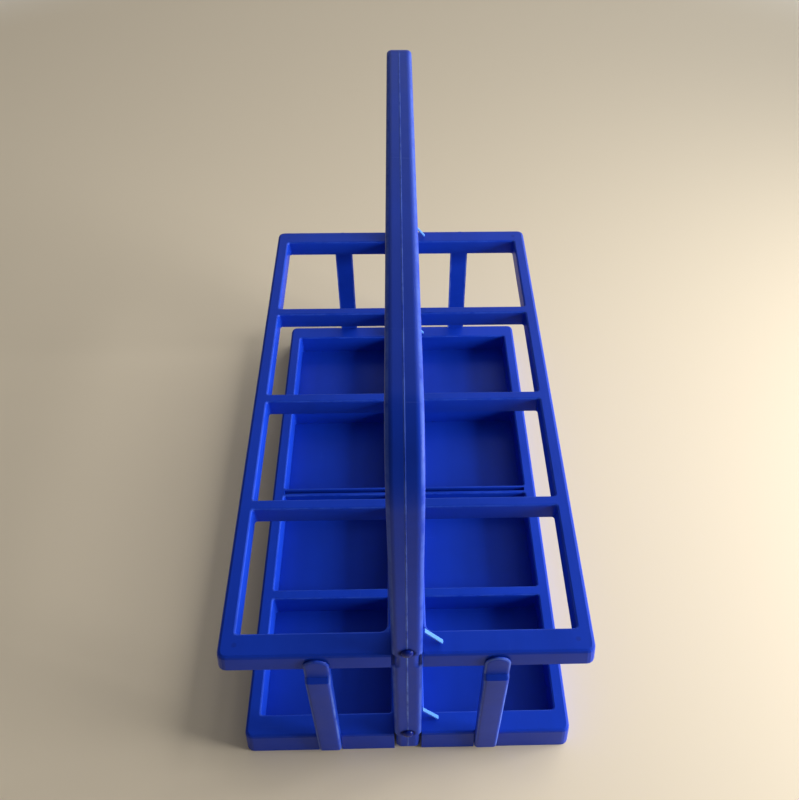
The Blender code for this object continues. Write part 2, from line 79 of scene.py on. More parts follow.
# Even patterns of the plastic, each with its repeats per metre and its noise's detail and roughness:
# pigment clouds, scuffs, fine grain and the slight orange peel
CLOUD_NOISE = (16.0, 3.0, 0.55)
SCUFF_NOISE = (55.0, 4.0, 0.7)
GRAIN_NOISE = (1600.0, 2.0, 0.6)
PEEL_NOISE = (190.0, 2.0, 0.5)
# Patterns that are longer one way, in repeats per metre along each axis: flow streaks, hairline scratches
# both ways with the angle that they are turned by, and the breaks in the handle's mould line
STREAK_SCALE = (90.0, 7.0, 90.0)
LONG_SCRATCH_SCALE = (1500.0, 22.0, 300.0)
CROSS_SCRATCH_SCALE = (24.0, 1300.0, 300.0)
SCRATCH_TURN = 0.35
BREAK_SCALE = (1.0, 60.0, 60.0)
# The value that a noise varies about, and the values between which a soft step goes from nothing to full:
# the pale shade, the scratches, the scuffs that let scratches, the pale bands of wear and painted highlight
# and the dark bands of dirt and painted shade show, and the mould line where it is unbroken
NOISE_MIDDLE = 0.5
SHADE_STEP = (0.32, 0.68)
SCRATCH_STEP = (0.71, 0.79)
SCRATCHED_STEP = (0.42, 0.72)
PALING_STEP = (0.3, 0.62)
DARKENING_STEP = (0.3, 0.6)
UNBROKEN_STEP = (0.2, 0.42)
# How much each pattern counts in the shade, in the roughness and in the height of the grain
CLOUD_SHADE, STREAK_SHADE = 0.7, 0.3
SCUFF_ROUGHNESS, CLOUD_ROUGHNESS = 0.16, 0.06
PALING_ROUGHNESS, DARKENING_ROUGHNESS = 0.12, 0.4
GRAIN_SHARE, PEEL_SHARE, SCRATCH_SHARE = 0.35, 0.65, 0.5
# How dark the deep clouds of pigment are, how high the grain stands in metres, and how much less rough the
# pins and the tabs are
DEEP_SHADE = 0.86
GRAIN_HEIGHT = 0.0001
PIN_GLOSS = 0.25
TAB_GLOSS = 0.06

# Pale and dark bands on the pieces: rims partly rubbed and partly a painted highlight, the mould line,
# painted highlights along the handle's and the struts' edges, painted shade round the pins, and ejector
# marks. Each has two distances from its line in metres: up to the first it is full, and at the second it has
# faded out. An inset is how far inside an edge the line lies.
RIM_BAND = (0.0003, 0.0013)
RIM_DEPTHS = (0.0016, 0.0004)
MOULD_LINE_BAND = (0.0004, 0.0008)
HANDLE_HIGHLIGHT_INSET = 0.0011
HANDLE_HIGHLIGHT_BAND = (0.0005, 0.0014)
STRUT_HIGHLIGHT_INSET = 0.0007
STRUT_HIGHLIGHT_BAND = (0.0003, 0.0008)
PIN_SHADE_BAND = (0.0042, 0.0066)
MARK_BAND = (0.0011, 0.0021)
# How strong the bands are. The mould line weakens between two heights on its way up.
MOULD_LINE_STRENGTH = 1.2
MOULD_LINE_LOSS = 0.7
MOULD_LINE_HEIGHTS = (0.1, 0.3)
HANDLE_HIGHLIGHT_STRENGTH = 0.5
STRUT_HIGHLIGHT_STRENGTH = 0.9
PIN_SHADE_STRENGTH = 1.4
MARK_STRENGTH = 0.3

# Points round a rod and a pin, points in a quarter of a rounded edge, rows along the handle, the struts, the
# domes and the plain part of a tab, and the sharpest edge that stays smooth
ROD_POINTS = 32
PIN_POINTS = 48
EDGE_POINTS = 9
TAB_EDGE_POINTS = 6
LEG_ROWS = 40
BEND_ROWS = 33
TOP_ROWS = 41
STRUT_HEAD_POINTS = 17
STRUT_SIDE_ROWS = 22
DOME_ROWS = 12
TAB_ROWS = 4
SMOOTH_ANGLE = math.radians(38.0)
# Where a dome's first ring stands, in degrees from its top
DOME_START = 2.0
# A guard point's place beside a curve, as a share of the curve's radius
GUARD = 0.02
# Half the height over which a strut's back steps at its shoulder
SHOULDER_STEP = 0.00001
# How far a peg starts inside its strut, and the chamfer of its tip
PEG_SUNK = 0.0005
PEG_CHAMFER = 0.0003
# The gap under a pin's head, the length of the pin's tapered tip, and the tip's end radius as a share
PIN_GAP = 0.00005
PIN_CHAMFER = 0.0004
PIN_TIP_SHARE = 0.8

# The studio: the floor's half width, how far it lies under the carrier, its roughness and the distances
# between which it fades to white, the point that the lights face, and each softbox's place, size and spread
# in degrees
FLOOR_REACH = 6.0
FLOOR_DROP = 0.0003
FLOOR_ROUGHNESS = 0.75
FLOOR_FADE = (1.2, 2.0)
LIT_POINT = (0.0, 0.0, 0.1)
WHITE = (1.0, 1.0, 1.0, 1.0)
SOFTBOXES = {
    "key": ((2.6, 2.2, 1.5), (3.8, 2.8), 130.0),
    "side": ((1.3, -0.2, 0.4), (0.9, 0.5), 100.0),
    "back": ((0.5, 4.0, 2.6), (4.0, 2.0), 180.0),
}
# The camera, worked out from the edges of the tray and the frame
CAMERA_LENS = 38.3344
CAMERA_SHIFT = (-0.02635, 0.01096)
CAMERA_PLACE = (-0.00068, -0.46717, 0.63549)
CAMERA_TURN = (0.74663, -0.00655, -0.0237)
CAMERA_FAR = 50.0


class Shader:
    """A node tree being written. Its node method adds any node and returns one of its outputs, wrapped."""

    def __init__(self, tree):
        self.tree = tree
        self.tree.nodes.clear()

    def node(self, kind, settings=None, inputs=None, output=0):
        """Add a node of a kind. The settings are put first, then the values or links of its sockets."""
        node = self.tree.nodes.new(kind)
        for name, value in (settings or {}).items():
            setattr(node, name, value)
        for name, value in (inputs or {}).items():
            if isinstance(value, Socket):
                self.tree.links.new(value.socket, node.inputs[name])
            else:
                node.inputs[name].default_value = value
        return Socket(self, node.outputs[output]) if node.outputs else node

    def math(self, operation, *values):
        """Add a Math node with the given values or links."""
        return self.node("ShaderNodeMath", {"operation": operation}, dict(enumerate(values)))

    def blend(self, factor, low, high):
        """Mix two colours by a factor."""
        # The node's sockets for other types have the same names, so those for colours go by number
        return self.node("ShaderNodeMix", {"data_type": "RGBA"}, {0: factor, 6: low, 7: high}, output=2)

    def layer(self, factor, under, over):
        """Mix two surfaces by a factor."""
        return self.node("ShaderNodeMixShader", None, {0: factor, 1: under, 2: over})

    def smooth(self, value, low, high):
        """A soft step: 0 below low, 1 above high."""
        inputs = {"Value": value, "From Min": low, "From Max": high}
        return self.node("ShaderNodeMapRange", {"interpolation_type": "SMOOTHSTEP"}, inputs)

    def noise(self, vector, scale=1.0, detail=2.0, roughness=0.5):
        """A noise value around one half."""
        inputs = {"Vector": vector, "Scale": scale, "Detail": detail, "Roughness": roughness}
        return self.node("ShaderNodeTexNoise", None, inputs)

    def stretched(self, vector, scale, turn=(0.0, 0.0, 0.0)):
        """The vector turned and scaled, for a pattern that is longer one way."""
        return self.node("ShaderNodeMapping", None, {"Vector": vector, "Rotation": turn, "Scale": scale})


class Socket:
    """A value or vector output that Python's operators work on. Each operator adds one Math node."""

    def __init__(self, shader, socket):
        self.shader = shader
        self.socket = socket

    def __add__(self, other):
        return self.shader.math("ADD", self, other)

    def __radd__(self, other):
        return self.shader.math("ADD", other, self)

    def __sub__(self, other):
        return self.shader.math("SUBTRACT", self, other)

    def __rsub__(self, other):
        return self.shader.math("SUBTRACT", other, self)

    def __mul__(self, other):
        return self.shader.math("MULTIPLY", self, other)

    def __rmul__(self, other):
        return self.shader.math("MULTIPLY", other, self)

    def __abs__(self):
        return self.shader.math("ABSOLUTE", self)


def axes_of(shader, vector):
    """The three components of a vector."""
    split = shader.node("ShaderNodeSeparateXYZ", None, {"Vector": vector}).socket.node
    return [Socket(shader, output) for output in split.outputs]


def moulded_plastic(name, look, wear_and_highlight=None, dirt_and_shade=None, colour=None, gloss=0.0, pale_colour=None):
    """Satin moulded plastic: pigment clouds, flow streaks, fine grain, rub marks, pale bands of wear and
    painted highlight, and dark bands of marks and painted shade.

    The pale and the dark band are functions of the shader and the position. They return how strongly the
    piece is paled there, by rubbing and by a painted highlight, and how strongly it is darkened, by marks
    and by painted shade, where 0 is nothing. gloss lowers the roughness.
    """
    material = bpy.data.materials.new(name)
    material.use_nodes = True
    shader = Shader(material.node_tree)
    place = shader.node("ShaderNodeTexCoord", output="Object")
    clouds = shader.noise(place, *CLOUD_NOISE)
    streaks = shader.noise(shader.stretched(place, STREAK_SCALE))
    scuffs = shader.noise(place, *SCUFF_NOISE)
    turn = (0.0, 0.0, SCRATCH_TURN)
    back = (0.0, 0.0, -SCRATCH_TURN)
    along = shader.noise(shader.stretched(place, LONG_SCRATCH_SCALE, turn), detail=1.0)
    across = shader.noise(shader.stretched(place, CROSS_SCRATCH_SCALE, back), detail=1.0)
    scratches = shader.smooth(shader.math("MAXIMUM", along, across), *SCRATCH_STEP)
    grain = shader.noise(place, *GRAIN_NOISE)
    peel = shader.noise(place, *PEEL_NOISE)

    own = colour or look.colour
    base = tuple(own) + (1.0,)
    deep = tuple(channel * DEEP_SHADE for channel in own) + (1.0,)
    pale = tuple(pale_colour or look.wear_and_highlight_colour) + (1.0,)
    dark_tone = tuple(look.dirt_and_shade_colour) + (1.0,)
    shade = shader.smooth(clouds * CLOUD_SHADE + streaks * STREAK_SHADE, *SHADE_STEP)
    surface_colour = shader.blend(shade, deep, base)
    # The pale share: scratches, and bands that are partly rubbing and partly painted highlight
    paling = scratches * shader.smooth(scuffs, *SCRATCHED_STEP) * look.scratches
    if wear_and_highlight:
        paling = shader.math("MAXIMUM", paling, wear_and_highlight(shader, place) * shader.smooth(scuffs, *PALING_STEP))
    surface_colour = shader.blend(paling * look.paleness, surface_colour, pale)
    roughness = look.roughness - gloss + (scuffs - NOISE_MIDDLE) * SCUFF_ROUGHNESS
    roughness = roughness + (clouds - NOISE_MIDDLE) * CLOUD_ROUGHNESS + paling * PALING_ROUGHNESS
    # The dark share: the frame's ejector marks, and painted shade round the pins
    if dirt_and_shade:
        darkening = dirt_and_shade(shader, place) * shader.smooth(scuffs, *DARKENING_STEP)
        surface_colour = shader.blend(darkening, surface_colour, dark_tone)
        roughness = roughness + darkening * DARKENING_ROUGHNESS
    height = grain * GRAIN_SHARE + peel * PEEL_SHARE - scratches * SCRATCH_SHARE
    bump = {"Strength": look.grain, "Distance": GRAIN_HEIGHT, "Height": height}
    normal = shader.node("ShaderNodeBump", None, bump)
    surface = shader.node("ShaderNodeBsdfPrincipled", None, {
        "Base Color": surface_colour,
        "Roughness": roughness,
        "Normal": normal,
        "IOR": look.refraction,
    })
    shader.node("ShaderNodeOutputMaterial", None, {"Surface": surface})
    return material


def rims_worn_and_highlit(top):
    """Where a grid's rims are pale: a narrow band along the upper rim of each cell, at a height, partly
    rubbing and partly a painted highlight on the rounded edge.
    """

    def wear_and_highlight(shader, place):
        x, y, z = axes_of(shader, place)
        from_column = abs(abs(x) - COLUMN_CENTRE)
        along = shader.math("MINIMUM", abs(y), 2 * ROW_PITCH)
        from_row = abs(shader.math("PINGPONG", along, ROW_PITCH) - ROW_PITCH / 2)
        from_rim = abs(shader.math("MAXIMUM", from_column, from_row) - CELL_HALF)
        near = 1.0 - shader.smooth(from_rim, *RIM_BAND)
        return near * shader.smooth(z, *(top - depth for depth in RIM_DEPTHS))

    return wear_and_highlight


def mould_line_and_edge_highlights(shader, place):
    """The handle's pale lines: its mould's parting line, stronger on the legs, and a painted highlight along
    the long edges.
    """
    x, _, z = axes_of(shader, place)
    unbroken = shader.smooth(shader.noise(shader.stretched(place, BREAK_SCALE)), *UNBROKEN_STEP)
    strength = MOULD_LINE_STRENGTH - shader.smooth(z, *MOULD_LINE_HEIGHTS) * MOULD_LINE_LOSS
    middle = (1.0 - shader.smooth(abs(x), *MOULD_LINE_BAND)) * strength * unbroken
    # A painted highlight along each long edge of the handle
    from_edge = abs(abs(x) - (HANDLE_HIGH.x - HANDLE_HIGHLIGHT_INSET))
    edge = (1.0 - shader.smooth(from_edge, *HANDLE_HIGHLIGHT_BAND)) * HANDLE_HIGHLIGHT_STRENGTH
    return shader.math("MAXIMUM", middle, edge)


def strut_edge_highlight(low, high):
    """A painted highlight on a strut: a narrow pale band inside its outline, over the head and down both
    sides.
    """
    centre, radius = abs(low.x + high.x) / 2, (high.x - low.x) / 2

    def wear_and_highlight(shader, place):
        x, _, z = axes_of(shader, place)
        across = abs(x) - centre
        above = shader.math("MAXIMUM", z - (high.z - radius), 0.0)
        away = shader.math("SQRT", across * across + above * above)
        from_edge = abs(away - (radius - STRUT_HIGHLIGHT_INSET))
        return (1.0 - shader.smooth(from_edge, *STRUT_HIGHLIGHT_BAND)) * STRUT_HIGHLIGHT_STRENGTH

    return wear_and_highlight


def pin_painted_shade(shader, place):
    """Painted shade round the head of each pin: a dark ring, as a band of distances from the pin's axis."""
    x, _, z = axes_of(shader, place)
    rings = []
    for height in PIN_HEIGHTS:
        rise = z - height
        away = shader.math("SQRT", x * x + rise * rise)
        rings.append(PIN_SHADE_STRENGTH - shader.smooth(away, *PIN_SHADE_BAND) * PIN_SHADE_STRENGTH)
    return shader.math("MAXIMUM", rings[0], rings[1])


def ejector_marks(shader, place):
    """The faint round marks near the frame's corners, where pins pushed it out of its mould."""
    x, y, _ = axes_of(shader, place)
    across = abs(x) - MARK_ACROSS
    along = abs(y) - MARK_ALONG
    away = shader.math("SQRT", across * across + along * along)
    return (1.0 - shader.smooth(away, *MARK_BAND)) * MARK_STRENGTH


def give_material(piece, material):
    """Put one material in every slot of a piece."""
    piece.data.materials.clear()
    piece.data.materials.append(material)


def dress(node, material):
    """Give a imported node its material, without touching its mesh."""
    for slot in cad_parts[node].material_slots:
        slot.material = material


def grid_faces(rows, columns):
    """Faces of a grid whose columns close on themselves, as vertex numbers."""
    row, column = np.meshgrid(np.arange(rows - 1), np.arange(columns), indexing="ij")
    ahead = (column + 1) % columns
    near, far = row * columns, (row + 1) * columns
    corners = np.stack([near + column, near + ahead, far + ahead, far + column], axis=-1)
    return corners.reshape(-1, 4)


def tube_parts(grid):
    """Points and faces of a closed tube: rows of rings, and a face over each end."""
    rows, columns = grid.shape[:2]
    faces = grid_faces(rows, columns).tolist()
    faces.append(list(range(columns))[::-1])
    faces.append(list(range((rows - 1) * columns, rows * columns)))
    return grid.reshape(-1, 3), faces


def add_piece(name, shells, body, material, replaced):
    """One piece from closed shells of points and faces, facing outwards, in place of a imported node."""
    points, faces, count = [], [], 0
    for shell_points, shell_faces in shells:
        points.append(shell_points)
        faces += [[number + count for number in face] for face in shell_faces]
        count += len(shell_points)
    mesh = bpy.data.meshes.new(name)
    mesh.from_pydata(np.concatenate(points).tolist(), [], faces)
    mesh.validate()
    bm = bmesh.new()
    bm.from_mesh(mesh)
    bmesh.ops.recalc_face_normals(bm, faces=bm.faces[:])
    bm.to_mesh(mesh)
    bm.free()
    piece = bpy.data.objects.new(name, mesh)
    bpy.context.scene.collection.objects.link(piece)
    mesh.shade_smooth()
    mesh.set_sharp_from_angle(angle=SMOOTH_ANGLE)
    give_material(piece, material)
    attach(piece, body)
    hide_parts(replaced)


def handle_path(look):
    """Rows along the handle's outer face, from the front foot over the top to the rear foot.

    Each row has a point (y, z) and the outward direction there: straight legs, quarter circles at the bends
    and a straight top. The rows lie close together at the necks, the feet and the bends.
    """
    bend = look.bend_radius
    half, top, foot = HANDLE_HIGH.y, HANDLE_HIGH.z, HANDLE_LOW.z
    necks = [FRAME_TOP + look.neck_rise, FRAME_UNDERSIDE - look.neck_rise, TRAY_TOP + look.neck_rise]
    marks = [foot, foot + look.edge_radius, top - bend]
    for neck in necks:
        marks += [neck, neck - look.neck_cut, neck + look.neck_cut, neck - look.foot_cut]
    leg = np.unique(np.round(np.concatenate([marks, np.linspace(foot, top - bend, LEG_ROWS)]), 6))
    turn = np.radians(np.linspace(0.0, 90.0, BEND_ROWS))[1:-1]
    run = np.linspace(bend - half, half - bend, TOP_ROWS)
    front = np.stack([np.full(len(leg), -half), leg, np.full(len(leg), -1.0), np.zeros(len(leg))], 1)
    back, up = np.cos(turn), np.sin(turn)
    arc = np.stack([bend - half - bend * back, top - bend + bend * up, -back, up], 1)
    straight = np.stack([run, np.full(len(run), top), np.zeros(len(run)), np.ones(len(run))], 1)
    mirror = np.array([-1.0, 1.0, -1.0, 1.0])
    return np.concatenate([front, arc, straight, (arc * mirror)[::-1], (front * mirror)[::-1]])


def neck_depth(z, look):
    """How far each flank steps in at a height: fully inside a notch, with 45 degree slopes beside it."""
    upper = np.minimum(FRAME_TOP + look.neck_rise - z, z - (FRAME_UNDERSIDE - look.neck_rise))
    lower = TRAY_TOP + look.neck_rise - z
    return np.maximum(np.clip(upper, 0.0, look.neck_cut), np.clip(lower, 0.0, look.foot_cut))


def handle_surface(look):
    """The handle as rings of a rounded rectangle carried along its path.

    A ring has a quarter circle at each corner and, in the middle of the outer and inner faces, the fine
    raised line where the mould's halves meet, a squared cosine. Its width follows the flanks' steps at the
    necks and the feet.
    """
    path = handle_path(look)
    width = HANDLE_HIGH.x - HANDLE_LOW.x
    turn = np.radians(np.linspace(0.0, 90.0, EDGE_POINTS + 1))
    # A guard point beside each curve keeps the flat faces flat under smooth shading
    over = np.concatenate([[-GUARD], np.sin(turn), [1.0]])
    down = np.concatenate([[1.0], np.cos(turn), [-GUARD]])
    # Points across the raised line, as shares of its half width
    ridge = np.array([-1.25, -1.0, -0.67, -0.33, 0.0, 0.33, 0.67, 1.0, 1.25])
    bump = look.ridge_height * np.cos(np.clip(ridge, -1.0, 1.0) * math.pi / 2) ** 2
    wide, edge, thick = look.edge_width, look.edge_radius, look.thickness
    right, left, middle = np.ones(len(over)), -np.ones(len(over)), np.zeros(len(ridge))
    # Each part of the ring: the side whose flank it follows, the offset across, and the depth below the
    # outer face
    parts = [
        (middle, ridge * look.ridge_width / 2, -bump),
        (right, wide * over, edge - edge * down),
        (right, wide * down, thick - edge + edge * over),
        (middle, -ridge * look.ridge_width / 2, thick + bump),
        (left, -wide * over, thick - edge + edge * down),
        (left, -wide * down, edge - edge * over),
    ]
    side = np.concatenate([part[0] for part in parts])
    offset = np.concatenate([part[1] for part in parts])
    depth = np.concatenate([part[2] for part in parts])
    on_leg = path[:, 3] == 0.0
    step = np.where(on_leg, neck_depth(path[:, 1], look), 0.0)
    flank = (width / 2 - wide - step)[:, None]
    x = side[None, :] * flank + offset[None, :]
    y = path[:, 0:1] - path[:, 2:3] * depth[None, :]
    z = path[:, 1:2] - path[:, 3:4] * depth[None, :]
    return np.stack([x, y, z], axis=-1)


def strut_outline(low, high, look):
    """A strut's front outline as points (x, z) and outward normals, clockwise from the middle of the top.

    The right half is a quarter circle of half the width, the straight side and the foot's quarter circle.
    The left half is its mirror image. The middle points of top and foot are shared.
    """
    radius = (high.x - low.x) / 2
    turn = np.radians(np.linspace(90.0, 0.0, STRUT_HEAD_POINTS))
    out, up = np.cos(turn), np.sin(turn)
    head = np.stack([radius * out, high.z - radius + radius * up, out, up], 1)
    between = np.linspace(high.z - radius, low.z + look.foot_radius, STRUT_SIDE_ROWS)[1:-1]
    shoulder = [look.shoulder + SHOULDER_STEP, look.shoulder - SHOULDER_STEP]
    levels = np.sort(np.concatenate([shoulder, [look.step, look.step - look.step_rise], between]))[::-1]
    side = np.stack([np.full(len(levels), radius), levels, np.ones(len(levels)), np.zeros(len(levels))], 1)
    turn = np.radians(np.linspace(0.0, -90.0, EDGE_POINTS))
    out, up = np.cos(turn), np.sin(turn)
    heel, rise = radius - look.foot_radius, low.z + look.foot_radius
    foot = np.stack([heel + look.foot_radius * out, rise + look.foot_radius * up, out, up], 1)
    middle = np.array([[0.0, low.z, 0.0, -1.0]])
    right = np.concatenate([head, side, foot, middle])
    left = right[1:-1][::-1] * np.array([-1.0, 1.0, -1.0, 1.0])
    return np.concatenate([right, left])


def strut_front(z, look):
    """How far out a strut's front stands at a height: straight lines join its foot, plate, step and head."""
    heights = [0.0, look.step - look.step_rise, look.step]
    reaches = [look.foot_proud, look.plate_proud, look.head_proud]
    return END_FACE + np.interp(z, heights, reaches)


def strut_shell(low, high, end, look):
    """A strut as rings round its outline, from its back over its side and its rounded edge to its front.

    Over the rounded edge the rings draw in by edge_width * (1 - cos) and rise by the edge's depth * sin, so
    the edge is a quarter ellipse. Strips between the halves of the first and last rings close the back and
    the front.
    """
    outline = strut_outline(low, high, look)
    place, normal = outline[:, :2], outline[:, 2:]
    turn = np.radians(np.linspace(0.0, 90.0, EDGE_POINTS))[:, None]
    drawn = look.edge_width * (1.0 - np.cos(turn))
    x = place[None, :, 0] - drawn * normal[None, :, 0]
    z = place[None, :, 1] - drawn * normal[None, :, 1]
    depth = np.interp(z, [look.step - look.step_rise, look.step], [look.edge_depth, look.head_edge_depth])
    out = strut_front(z, look) - depth * (1.0 - np.sin(turn))
    seat = END_FACE + look.clearance
    back = np.where(place[:, 1] > look.shoulder, seat, seat - look.recess)
    x = np.concatenate([place[None, :, 0], x])
    z = np.concatenate([place[None, :, 1], z])
    out = np.concatenate([back[None, :], out])
    points = np.stack([x + (low.x + high.x) / 2, end * out, z], axis=-1)
    rows, columns = points.shape[:2]
    faces = grid_faces(rows, columns).tolist()
    half = columns // 2
    right = np.arange(1, half - 1)
    strips = np.stack([right, right + 1, columns - right - 1, columns - right], axis=-1)
    ends = [[0, 1, columns - 1], [half - 1, half, half + 1]]
    for start in (0, (rows - 1) * columns):
        faces += (strips + start).tolist()
        faces += [[number + start for number in face] for face in ends]
    return points.reshape(-1, 3), faces


def full_turn(points):
    """Angles evenly round a circle."""
    return np.radians(np.arange(points) * 360.0 / points)


def rod_shell(middle, axis_sign, length, radius, chamfer):
    """A rod along the carrier's length with chamfered ends, as rings of points round its axis."""
    turn = full_turn(ROD_POINTS)
    along = np.array([0.0, chamfer, length - chamfer, length])
    around = np.array([radius - chamfer, radius, radius, radius - chamfer])
    x = middle[0] + around[:, None] * np.cos(turn)
    z = middle[2] + around[:, None] * np.sin(turn)
    y = middle[1] + axis_sign * along[:, None] + np.zeros_like(x)
    return tube_parts(np.stack([x, y, z], axis=-1))


def pin_shell(low, high, look):
    """A turned pin: a half ellipse for the head's dome, a short rim, and the shank with a chamfered tip."""
    end = -1.0 if low.y < 0 else 1.0
    reach = max(abs(low.y), abs(high.y))
    tip = min(abs(low.y), abs(high.y))
    head = (high.x - low.x) / 2
    dome = np.radians(np.linspace(DOME_START, 90.0, DOME_ROWS))
    rise = reach - END_FACE - look.pin_rim
    shank = look.pin_shank
    radius = np.concatenate([head * np.sin(dome), [head, shank, shank, shank * PIN_TIP_SHARE]])
    face = END_FACE + PIN_GAP
    top = END_FACE + look.pin_rim + rise * np.cos(dome)
    out = np.concatenate([top, [face, face, tip + PIN_CHAMFER, tip]])
    turn = full_turn(PIN_POINTS)
    x = radius[:, None] * np.cos(turn)
    z = (low.z + high.z) / 2 + radius[:, None] * np.sin(turn)
    y = end * out[:, None] + np.zeros_like(x)
    return tube_parts(np.stack([x, y, z], axis=-1))


def tab_shell(low, high, look):
    """A catch tab: a rounded strip that runs down and outwards at its slope, its ends drawn in a little.

    Its length follows from its box: width = length * cos(slope) + thickness * sin(slope).
    """
    slope = look.tab_slope
    length = (high.x - low.x - look.tab_thickness * math.sin(slope)) / math.cos(slope)
    turn = np.radians(np.linspace(0.0, 90.0, TAB_EDGE_POINTS))
    corner = look.tab_edge
    flat, wide = look.tab_thickness / 2 - corner, look.tab_width / 2 - corner
    up = np.concatenate([
        flat + corner * np.sin(turn), flat + corner * np.cos(turn),
        -flat - corner * np.sin(turn), -flat - corner * np.cos(turn),
    ])
    side = np.concatenate([
        wide + corner * np.cos(turn), -wide - corner * np.sin(turn),
        -wide - corner * np.cos(turn), wide + corner * np.sin(turn),
    ])
    # Each end rounds off over half an edge radius: rings at these places, drawn in to these shares. Plain
    # rings stand between the ends.
    ends = np.array([0.0, 0.08, 0.25, 0.5]) * corner
    drawn = np.array([0.6, 0.85, 0.96, 1.0])
    plain = np.linspace(0.2, 0.8, TAB_ROWS) * length
    along = np.concatenate([ends, plain, length - ends[::-1]]) - length / 2
    scale = np.concatenate([drawn, np.ones(TAB_ROWS), drawn[::-1]])[:, None]
    x = (low.x + high.x) / 2 + along[:, None] * math.cos(slope) + scale * up * math.sin(slope)
    z = (low.z + high.z) / 2 - along[:, None] * math.sin(slope) + scale * up * math.cos(slope)
    y = (low.y + high.y) / 2 + scale * side
    return tube_parts(np.stack([x, y, z], axis=-1))


class HandleLook(bpy.types.PropertyGroup):
    """Sizes of the swept handle."""

    bend_radius: FloatProperty(
        name="Bend radius", description="Outer radius of both bends", default=0.042, unit="LENGTH",
    )
    thickness: FloatProperty(
        name="Thickness", description="From outer to inner face", default=0.014, unit="LENGTH",
    )
    edge_radius: FloatProperty(
        name="Edge radius", description="Radius of the long edges", default=0.003, unit="LENGTH",
    )
    neck_cut: FloatProperty(
        name="Neck cut", description="Depth of each flank's step", default=0.0017, unit="LENGTH",
    )
    foot_cut: FloatProperty(
        name="Foot cut", description="Depth of the step at the feet", default=0.0012, unit="LENGTH",
    )
    edge_width: FloatProperty(
        name="Edge width", description="Width of the long edges", default=0.0042, unit="LENGTH",
    )
    neck_rise: FloatProperty(
        name="Neck rise", description="How far a neck passes its bar", default=0.0012, unit="LENGTH",
    )
    ridge_width: FloatProperty(
        name="Line width", description="Width of the mould line", default=0.0008, unit="LENGTH",
    )
    ridge_height: FloatProperty(
        name="Line height", description="Height of the mould line", default=0.00012, unit="LENGTH",
    )


class FittingLook(bpy.types.PropertyGroup):
    """Sizes of the struts, pins and catch tabs, beyond what their boxes give."""

    head_proud: FloatProperty(
        name="Head", description="How far a strut's head stands out", default=0.0017, unit="LENGTH",
    )
    plate_proud: FloatProperty(
        name="Plate", description="How far a strut's plate stands out", default=0.005, unit="LENGTH",
    )
    foot_proud: FloatProperty(
        name="Foot", description="How far a strut's foot stands out", default=0.0028, unit="LENGTH",
    )
    clearance: FloatProperty(
        name="Clearance", description="Gap behind a strut", default=0.0003, unit="LENGTH",
    )
    recess: FloatProperty(
        name="Recess", description="How deep a strut sits in the tray", default=0.0034, unit="LENGTH",
    )
    shoulder: FloatProperty(
        name="Shoulder", description="Height of the shoulder", default=0.1309, unit="LENGTH",
    )
    step: FloatProperty(name="Step", description="Height of a strut's step", default=0.1222, unit="LENGTH")
    step_rise: FloatProperty(
        name="Step rise", description="Height that the step takes", default=0.0025, unit="LENGTH",
    )
    foot_radius: FloatProperty(
        name="Foot radius", description="Corner radius of the foot", default=0.003, unit="LENGTH",
    )
    edge_width: FloatProperty(
        name="Edge width", description="Width of the rounded edge", default=0.0027, unit="LENGTH",
    )
    edge_depth: FloatProperty(
        name="Edge depth", description="Depth of the plate's edge", default=0.0023, unit="LENGTH",
    )
    head_edge_depth: FloatProperty(
        name="Head edge", description="Depth of the head's edge", default=0.0012, unit="LENGTH",
    )
    peg_radius: FloatProperty(
        name="Peg radius", description="Radius of a strut's pegs", default=0.003, unit="LENGTH",
    )
    peg_length: FloatProperty(
        name="Peg length", description="Length of a strut's pegs", default=0.008, unit="LENGTH",
    )
    pin_rim: FloatProperty(
        name="Pin rim", description="Height of a pin head's rim", default=0.0004, unit="LENGTH",
    )
    pin_shank: FloatProperty(
        name="Pin shank", description="Radius of a pin's shank", default=0.0025, unit="LENGTH",
    )
    tab_thickness: FloatProperty(
        name="Tab thickness", description="Thickness of a tab", default=0.0014, unit="LENGTH",
    )
    tab_width: FloatProperty(name="Tab width", description="Width of a tab", default=0.0029, unit="LENGTH")
    tab_edge: FloatProperty(
        name="Tab edge", description="Radius of a tab's edges", default=0.0005, unit="LENGTH",
    )
    tab_slope: FloatProperty(
        name="Tab slope", description="How steeply a tab leans", default=0.9076, subtype="ANGLE",
    )


